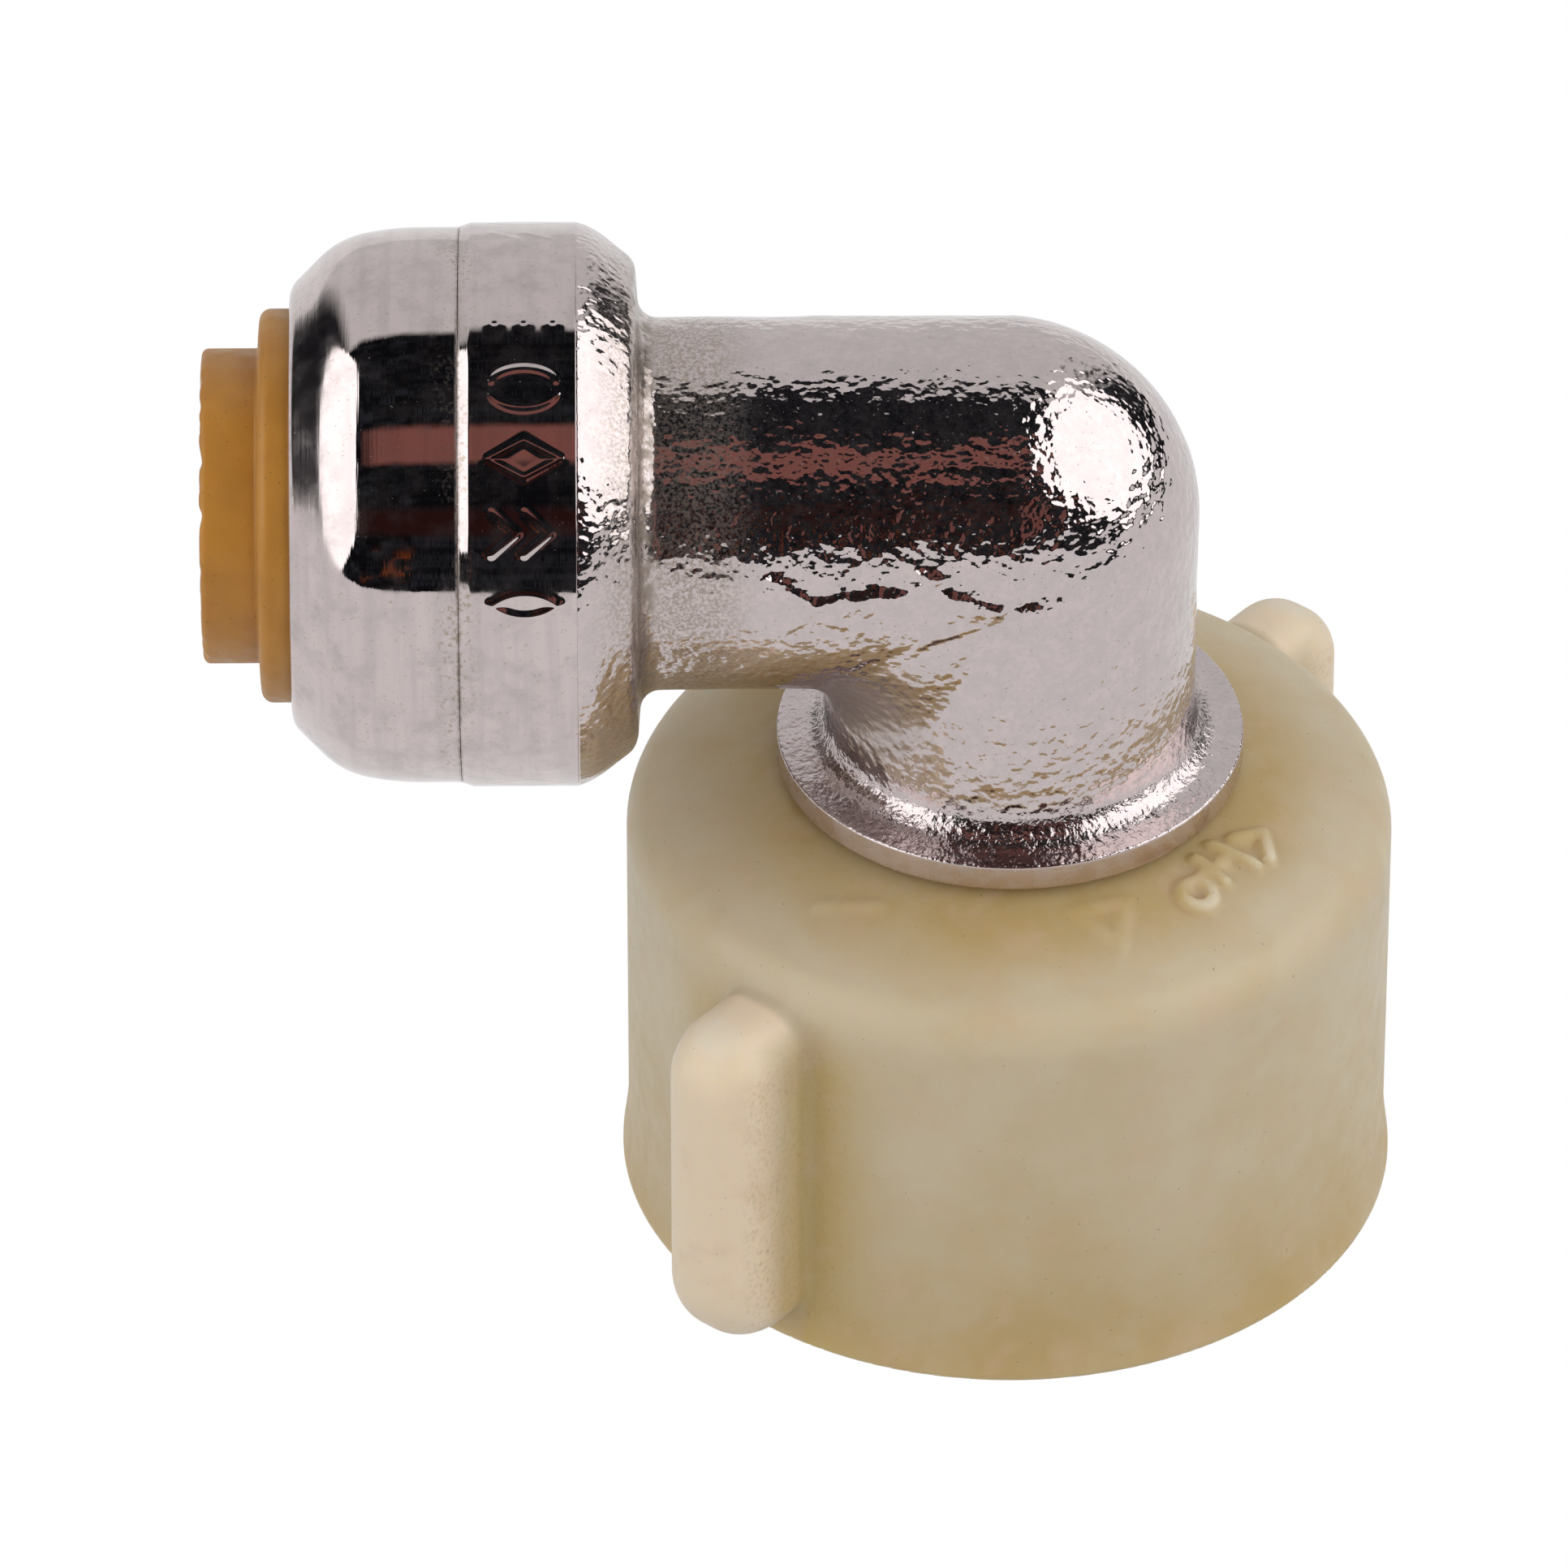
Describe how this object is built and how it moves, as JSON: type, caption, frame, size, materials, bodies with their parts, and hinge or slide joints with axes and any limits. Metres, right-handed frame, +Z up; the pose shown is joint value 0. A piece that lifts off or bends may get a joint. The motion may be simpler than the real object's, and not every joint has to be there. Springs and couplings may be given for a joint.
{
  "type": "push-fit elbow with swivel nut",
  "caption": "Push-to-connect elbow for small tube: plated forged body, crimped cap, press-to-release collar and a winged swivel nut with an internal thread.",
  "frame": {"origin": "centre of the swivel nut's mouth, in the plane that it stands on", "axes": "+Z up the nut's thread and the elbow's leg, the tube port faces -X, +Y completes a right-handed frame"},
  "size_m": [0.047, 0.0312, 0.0429],
  "materials": {
    "chrome_brass": "polished chrome plate over forged brass, orange-peel as forged on the arm and leg",
    "collar_plastic": "tan acetal, lightly soiled",
    "nut_plastic": "natural cream nylon, slightly translucent, matt",
    "stainless": "bright spring stainless sheet",
    "seal_rubber": "black EPDM, lightly greased",
    "washer_rubber": "dark grey moulded rubber, matt",
    "ring_plastic": "off-white acetal",
    "liner_plastic": "pale grey polypropylene"
  },
  "bodies": {
    "root": {"fitting_body": "chrome_brass", "end_cap": "chrome_brass", "grip_ring": "stainless", "grip_ring_seat": "ring_plastic", "o_ring_protector": "ring_plastic", "o_ring": "seal_rubber", "tube_liner": "liner_plastic", "retaining_clip": "stainless", "cone_washer": "washer_rubber"},
    "collar": {"release_collar": "collar_plastic"},
    "washer": {"thrust_washer": "ring_plastic"},
    "nut": {"swivel_nut": "nut_plastic"}
  },
  "joints": [
    {"name": "collar_press", "type": "slide", "parent": "root", "child": "collar", "axis": [1, 0, 0], "range_m": [0, 0.0011], "stiffness_N_per_m": 400, "springref_m": -0.0002},
    {"name": "nut_float", "type": "slide", "parent": "root", "child": "washer", "axis": [0, 0, 1], "range_m": [-0.0014, 0]},
    {"name": "nut_spin", "type": "hinge", "parent": "washer", "child": "nut", "pos_m": [0, 0, 0.01], "axis": [0, 0, 1], "continuous": true}
  ]
}
